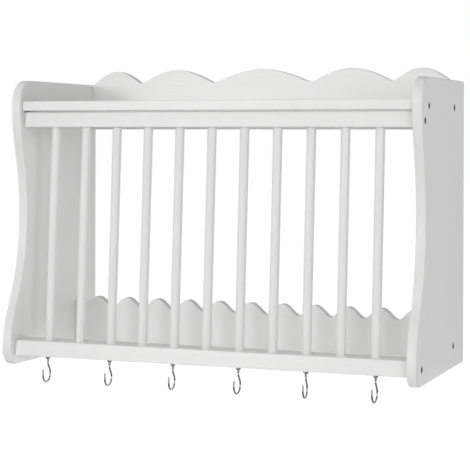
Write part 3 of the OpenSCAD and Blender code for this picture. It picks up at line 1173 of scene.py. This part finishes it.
@dataclass
class ConnectorScrews(SubAssembly):
    """The dark screws with hexagon sockets in the panels and in the back of the top board.

    Their heights run along the screw, with the wood's face at 0.
    """

    head_d: float = 0.011
    head: float = 0.0035
    # How far the head's face lies below the wood, and the width and roundness of its edge
    sunk: float = 0.0002
    edge: float = 0.0005
    edge_rounding: Point2 = (0.15, 0.35)
    key: float = 0.004
    socket_wall: float = 0.0024
    socket_depth: float = 0.0032
    shank_d: float = 0.006
    length: float = 0.050
    plain_share: float = 0.9
    thread: Thread = Thread(0.0115, 14, 0.0025, ((0.72, 0.2), (1.0, 0.6)))
    # The start of the point: a share of the shank's radius, and how far it is from the end
    point: Point2 = (0.7, 0.002)
    back_screws: int = 3
    back_screw_in: float = 0.150
    clearance: float = 0.0001

    def profile(self) -> list[Point2]:
        """Draws a screw.

        Returns:
            Its turned profile, as radius and height.
        """
        head, shank, edge = self.head_d / 2, self.shank_d / 2, self.edge
        inward, onward = self.edge_rounding
        point_share, point = self.point
        profile = [
            (0.0, self.sunk),
            (head - edge, self.sunk),
            (head - inward * edge, self.sunk + onward * edge),
            (head, self.sunk + edge),
            (head, self.head),
            (shank * self.plain_share, self.head),
            (shank * self.plain_share, self.thread.start),
        ]
        profile += self.thread.profile(shank)
        return profile + [(shank * point_share, self.length - point), (0.0, self.length)]

    def build(self, name: str, frames: Sequence[Matrix]) -> Piece:
        """Makes a set of screws as one object.

        Args:
            name: The object's name.
            frames: A frame for each screw: +Z points into the wood from its face.

        Returns:
            The screws.
        """
        data = bmesh.new()
        across = self.key / math.cos(math.radians(30)) / 2
        hexagon = [(0, -OVER), (across, -OVER), (across, self.socket_wall), (0, self.socket_depth)]
        cutters = []
        for place in frames:
            lathe(data, self.profile(), place, segments=36)
            socket = bmesh.new()
            lathe(socket, hexagon, place, segments=6)
            cutters.append(object_of("hexagon_socket", socket))
        screws = object_of(name, data)
        cut(screws, cutters)
        shade(screws, crease=35.0)
        return screws

    def panel_frames(self, spots: Sequence[Point2]) -> list[Matrix]:
        """Places screws at the same spots of both panels.

        Args:
            spots: Depth and height of each.

        Returns:
            Their frames.
        """
        frames = []
        for side, _ in SIDES:
            for depth, height in spots:
                place = Matrix.Translation((side * self.rack.width / 2, -depth, self.rack.up(height)))
                frames.append(place @ Matrix.Rotation(math.radians(-90 * side), 4, "Y"))
        return frames

    def back_frames(self) -> list[Matrix]:
        """Places the screws through the top back board into the shelf.

        Returns:
            Their frames.
        """
        last = self.back_screws - 1
        pitch = (self.rack.width - 2 * self.back_screw_in) / last
        height = self.rack.up((self.rack.shelf_top + self.rack.shelf_bottom) / 2)
        places = [((i - last / 2) * pitch, 0.0, height) for i in range(self.back_screws)]
        return [Matrix.Translation(at) @ Matrix.Rotation(math.radians(90), 4, "X") for at in places]

    def recesses(self) -> list[Piece]:
        """Makes the counterbores for the heads in the back of the top board.

        Returns:
            The cutters.
        """
        diameter = self.head_d + 2 * self.clearance
        start, end = Vector((0, 0, -OVER)), Vector((0, 0, self.head + self.clearance))
        return [bore(at @ start, at @ end, diameter) for at in self.back_frames()]

    def pieces(self) -> NamedPieces:
        """Makes the screws, one object for each CAD node.

        Yields:
            The CAD node and the screws.
        """
        for node, spots in self.rack.screw_spots:
            yield node, self.build(f"dark_{node}", self.panel_frames(spots))
        yield "back_board_screws", self.build("dark_back_board_screws", self.back_frames())


@dataclass
class WallHangers(SubAssembly):
    """The keyhole hanger plates in the back of the top board, with their screws.

    Their heights are over the middle of the entry holes.
    """

    inset: float = 0.070
    width: float = 0.018
    length: float = 0.046
    thickness: float = 0.0018
    easing: float = 0.0003
    entry_d: float = 0.009
    slot: float = 0.0045
    slot_length: float = 0.010
    pocket: float = 0.011
    pocket_room: float = 0.002
    # What keeps the walls of a slot as wide as its round hole off the hole's rim
    hair: float = 0.00001
    clearance: float = 0.0001
    screw_pitch: float = 0.034
    screw_d: float = 0.003
    screw_length: float = 0.012
    screw_edge: float = 0.00025
    screw_face: float = 0.8
    thread: Thread = Thread(0.0019, 9, 0.001, ((0.8, 0.0), (1.0, 0.5)))
    # The cutter for one arm of the cross recess, and the turn of the cross in degrees
    blade: Point3 = (0.0032, 0.0007, 0.0012)
    blade_turn: float = 20.0

    def x(self, side: int) -> float:
        """The middle of the hanger on a side."""
        return side * (self.rack.width / 2 - self.inset)

    def strip(self, grow: float = 0.0) -> list[Point2]:
        """Draws the plate.

        Args:
            grow: How much larger it is all round.

        Returns:
            Its outline about the entry hole, as x and height.
        """
        radius = self.width / 2 + grow
        straight, middle = (self.length - self.width) / 2, self.slot_length / 2
        top = arc((0.0, middle + straight), radius, 0, 180, chords=16)
        return top + arc((0.0, middle - straight), radius, 180, 360, chords=16)

    def keyhole(self, diameter: float, slot: float) -> list[Point2]:
        """Draws a round hole with a slot above it.

        Args:
            diameter: The diameter of the round hole.
            slot: The slot's width.

        Returns:
            The outline, as x and height.
        """
        radius, half = diameter / 2, slot / 2
        rim = math.degrees(math.acos(min(1.0, half / radius)))
        points = arc((0.0, self.slot_length), half, 0, 180, chords=12)
        return points + arc((0.0, 0.0), radius, 180 - rim, 360 + rim, chords=28)

    def slab(self, name: str, outline: Sequence[Point2], side: int, low: float, high: float) -> Piece:
        """A solid from an outline about a side's entry hole, between two depths."""
        return prism(name, [(x + self.x(side), z) for x, z in outline], low, high, Plane.FACING)

    def screw_places(self, side: int) -> list[Vector]:
        """The middle of each screw of a hanger, on the wall's plane."""
        middle = self.slot_length / 2
        return [Vector((self.x(side), 0.0, middle + s * self.screw_pitch / 2)) for s in (-1, 1)]

    def recesses(self) -> list[Piece]:
        """Makes what both hangers take out of the top back board.

        Returns:
            The cutters.
        """
        hole = self.entry_d + self.pocket_room
        pocket = self.keyhole(hole, hole - self.hair)
        made = []
        for side, _ in SIDES:
            made.append(self.slab("bed", self.strip(self.clearance), side, -OVER, self.thickness))
            made.append(self.slab("pocket", pocket, side, self.thickness / 2, self.pocket))
        return made

    def build_plate(self, side: int, word: str) -> Piece:
        """Makes one plate.

        Args:
            side: -1 for the left hanger and 1 for the right one.
            word: The side in words.

        Returns:
            The plate.
        """
        plate = self.slab(f"zinc_{word}_hanger", self.strip(), side, 0.0, self.thickness)
        ease(plate, self.easing, strips=2)
        keyhole = self.keyhole(self.entry_d, self.slot)
        cutters = [self.slab("keyhole", keyhole, side, -OVER, self.thickness + OVER)]
        inward = Vector((0.0, -1.0, 0.0))
        sink_d = 2 * (self.screw_d + self.clearance)
        hole_d = self.screw_d + 2 * self.clearance
        for place in self.screw_places(side):
            face, seat = place - OVER * inward, place + self.thickness / 2 * inward
            through = place + 2 * self.thickness * inward
            cutters.append(bore(face, seat, sink_d, segments=32))
            cutters.append(bore(place, through, hole_d, segments=24))
        cut(plate, cutters)
        shade(plate, crease=35.0)
        return plate

    def build_screws(self) -> Piece:
        """Makes all four small screws, with cross recesses.

        Returns:
            The screws, as one object.
        """
        radius, head_radius, head = self.screw_d / 2, self.screw_d, self.thickness / 2
        face = [(0.0, 0.0), (self.screw_face * head_radius, 0.0), (head_radius, self.screw_edge)]
        profile = [*face, (head_radius, head), (radius, head)]
        profile += [*self.thread.profile(radius), (0.0, self.screw_length)]
        data = bmesh.new()
        cutters = []
        for place in self.screw_places(-1) + self.screw_places(1):
            frame = Matrix.Translation(place) @ Matrix.Rotation(math.radians(90), 4, "X")
            lathe(data, profile, frame, segments=28)
            for quarter in (0, 90):
                turn = frame @ Matrix.Rotation(math.radians(quarter + self.blade_turn), 4, "Z")
                arm = bmesh.new()
                bmesh.ops.create_cube(arm, size=1.0, matrix=turn @ Matrix.Diagonal((*self.blade, 1.0)))
                cutters.append(object_of("cross", arm))
        screws = object_of("zinc_hanger_screws", data)
        cut(screws, cutters)
        shade(screws, crease=35.0)
        return screws

    def pieces(self) -> NamedPieces:
        """Makes both plates and their screws.

        Yields:
            Each one's CAD node and the piece.
        """
        for side, word in SIDES:
            yield f"{word}_hanger", self.build_plate(side, word)
        yield "hanger_screws", self.build_screws()


# Studio


@dataclass(frozen=True)
class SoftBox:
    """An area light that faces the rack. Its azimuth is 0 in front of the wall and 90 on the right."""

    name: str
    azimuth: float
    elevation: float
    distance: float
    width: float
    height: float
    level: float

    def build(self, target: Vector) -> None:
        """Hangs the light.

        Args:
            target: The point that it faces. A white card there that faces it renders at its level.
        """
        light = bpy.data.lights.new(self.name, "AREA")
        light.shape = "RECTANGLE"
        light.size, light.size_y = self.width, self.height
        light.energy = self.level * math.pi**2 * self.distance**2
        made = bpy.data.objects.new(self.name, light)
        bpy.context.scene.collection.objects.link(made)
        azimuth, elevation = math.radians(self.azimuth), math.radians(self.elevation)
        flat = math.cos(elevation)
        away = Vector((math.sin(azimuth) * flat, -math.cos(azimuth) * flat, math.sin(elevation)))
        made.location = target + self.distance * away
        made.rotation_mode = "QUATERNION"
        made.rotation_quaternion = away.to_track_quat("Z", "Y")
        made.visible_camera = False
        log.info("%s: level %.2f", self.name, self.level)


@dataclass
class Studio:
    """A pale floor, an even sky, soft boxes and the camera."""

    floor_height: float = -0.95
    floor_size: float = 60.0
    floor_colour: float = 0.75
    floor_white: float = 1.03
    sky: float = 0.382
    rack_middle: Point3 = (0.0, -0.15, -0.25)
    # What mirrors see: white within a band about the horizon, falling off to dark. The band's
    # middle, its half width and where it ends are sines of angles over the horizon.
    mirrored_dark: float = 0.12
    band_middle: float = -0.05
    band_full: float = 0.15
    band_end: float = 0.40
    boxes: tuple[SoftBox, ...] = (
        SoftBox("key_box", -21.0, 7.0, 5.3, 0.7, 0.7, 0.14),
        SoftBox("high_key_box", -21.0, 30.0, 5.3, 0.7, 0.7, 0.085),
        SoftBox("right_box", 45.0, 10.0, 4.0, 1.2, 1.2, 0.165),
        SoftBox("high_right_box", 35.0, 35.0, 4.0, 2.0, 2.0, 0.09),
        SoftBox("left_box", -90.0, 30.0, 3.0, 2.0, 2.0, 0.34),
        SoftBox("back_bounce", 180.0, -50.0, 0.9, 1.0, 1.0, 0.42),
        SoftBox("under_bounce", 0.0, -85.0, 0.7, 1.0, 1.0, 0.27),
    )
    camera_place: Point3 = (0.92905, -2.61467, -0.06082)
    # The camera's turns in degrees, its focal length and the place of its axis in the picture
    yaw: float = 20.8604
    pitch: float = -0.5155
    roll: float = 0.1147
    focal_px: float = 1577.713
    axis_px: Point2 = (231.87, 150.0)
    clip: Point2 = (0.05, 200.0)

    def horizon(self, graph: Graph, direction: Wire) -> Wire:
        """Draws what mirrors see: white near the horizon, and dark far above and below it.

        Args:
            graph: The graph to add to.
            direction: The direction in which a mirror looks, of length 1.

        Returns:
            The brightness.
        """
        height = graph.node("ShaderNodeSeparateXYZ", inputs={"Vector": direction}, output="Z")
        inputs = {
            "Value": abs(height - self.band_middle),
            "From Min": self.band_full,
            "From Max": self.band_end,
            "To Min": 1.0,
            "To Max": self.mirrored_dark,
        }
        return graph.node("ShaderNodeMapRange", {"interpolation_type": "SMOOTHSTEP"}, inputs)

    def build_sky(self) -> None:
        """An even light from all round. The camera sees it as white, and mirrors as a white horizon."""
        world = bpy.data.worlds.new("studio_sky")
        bpy.context.scene.world = world
        world.use_nodes = True
        graph = Graph(world.node_tree)
        seen = graph.ray("Camera").either(graph.ray("Transmission"))
        horizon = self.horizon(graph, graph.node("ShaderNodeTexCoord", output="Generated"))
        strength = self.sky + (1.0 - self.sky) * seen
        strength = strength + (horizon - self.sky) * graph.ray("Glossy")
        light = graph.node("ShaderNodeBackground", inputs={"Color": WHITE, "Strength": strength})
        graph.node("ShaderNodeOutputWorld", inputs={"Surface": light})

    def floor_material(self) -> bpy.types.Material:
        """Makes a pale surface that the camera sees as white, with shadows, and mirrors as the horizon.

        Returns:
            The material.
        """
        material, graph = new_graph("pale_floor")
        pale = (self.floor_colour, self.floor_colour, self.floor_colour, 1.0)
        lit = graph.node("ShaderNodeBsdfDiffuse", inputs={"Color": pale})
        seen = graph.ray("Camera").either(graph.ray("Transmission"))
        glow = graph.glow((self.floor_white - self.floor_colour * self.sky) * seen)
        both = graph.node("ShaderNodeAddShader", inputs={0: lit, 1: glow})
        ends = {0: graph.place(), 1: self.rack_middle}
        from_rack = graph.node("ShaderNodeVectorMath", {"operation": "SUBTRACT"}, ends)
        direction = graph.node("ShaderNodeVectorMath", {"operation": "NORMALIZE"}, {0: from_rack})
        mirrored = graph.glow(self.horizon(graph, direction))
        mix = {0: graph.ray("Glossy"), 1: both, 2: mirrored}
        graph.surface(graph.node("ShaderNodeMixShader", inputs=mix))
        return material

    def build_floor(self) -> None:
        """The floor."""
        half = self.floor_size / 2
        data = bmesh.new()
        corners = [(-half, -half), (half, -half), (half, half), (-half, half)]
        data.faces.new([data.verts.new((x, y, self.floor_height)) for x, y in corners])
        floor = object_of("studio_floor", data)
        floor.data.materials.append(self.floor_material())
        floor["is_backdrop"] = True

    def build_camera(self) -> None:
        """The camera, with the lens and stance that the photograph's edges gave."""
        data = bpy.data.cameras.new("camera")
        data.sensor_width = SENSOR_MM
        data.lens = self.focal_px * SENSOR_MM / IMAGE_PX
        data.shift_x = (IMAGE_PX / 2 - self.axis_px[0]) / IMAGE_PX
        data.shift_y = (self.axis_px[1] - IMAGE_PX / 2) / IMAGE_PX
        data.clip_start, data.clip_end = self.clip
        camera = bpy.data.objects.new("camera", data)
        bpy.context.scene.collection.objects.link(camera)
        stance = Matrix.Translation(self.camera_place)
        for angle, axis in ((self.yaw, "Z"), (90 + self.pitch, "X"), (self.roll, "Z")):
            stance = stance @ Matrix.Rotation(math.radians(angle), 4, axis)
        camera.matrix_world = stance
        bpy.context.scene.camera = camera

    def build(self) -> None:
        """Builds the studio."""
        bpy.context.scene.view_settings.view_transform = "Standard"
        self.build_sky()
        self.build_floor()
        self.build_camera()
        low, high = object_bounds()
        for box in self.boxes:
            box.build((low + high) / 2)


def main() -> None:
    """Loads the frame and builds the sub-assemblies in order."""
    logging.basicConfig(level=logging.INFO, format="%(name)s: %(message)s")
    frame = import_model()
    shop = Workshop(frame)
    rack = RackSizes()
    upright = SatinPaint("satin_white_upright", grain=Grain.UPRIGHT)
    across = SatinPaint("satin_white_across", grain=Grain.ACROSS)
    screws = ConnectorScrews(rack)
    hangers = WallHangers(rack)
    SidePanels(rack).dress(shop, upright, Slot.PAINT)
    CrossBoards(rack, screws.recesses() + hangers.recesses()).dress(shop, across, Slot.PAINT)
    Spindles(rack).dress(shop, upright, Slot.PAINT)
    CupHooks(rack).dress(shop, BrightNickel("bright_nickel"), Slot.HOOK)
    screws.dress(shop, DarkZinc("dark_zinc"), Slot.SCREW)
    hangers.dress(shop, ZincPlate("zinc_plate"), Slot.HANGER)
    beech = BareBeech("bare_beech")
    for node in ("top_board_dowels", "lower_board_dowels"):
        shop.dress(node, beech)
    Studio().build()


if __name__ == "__main__":
    main()
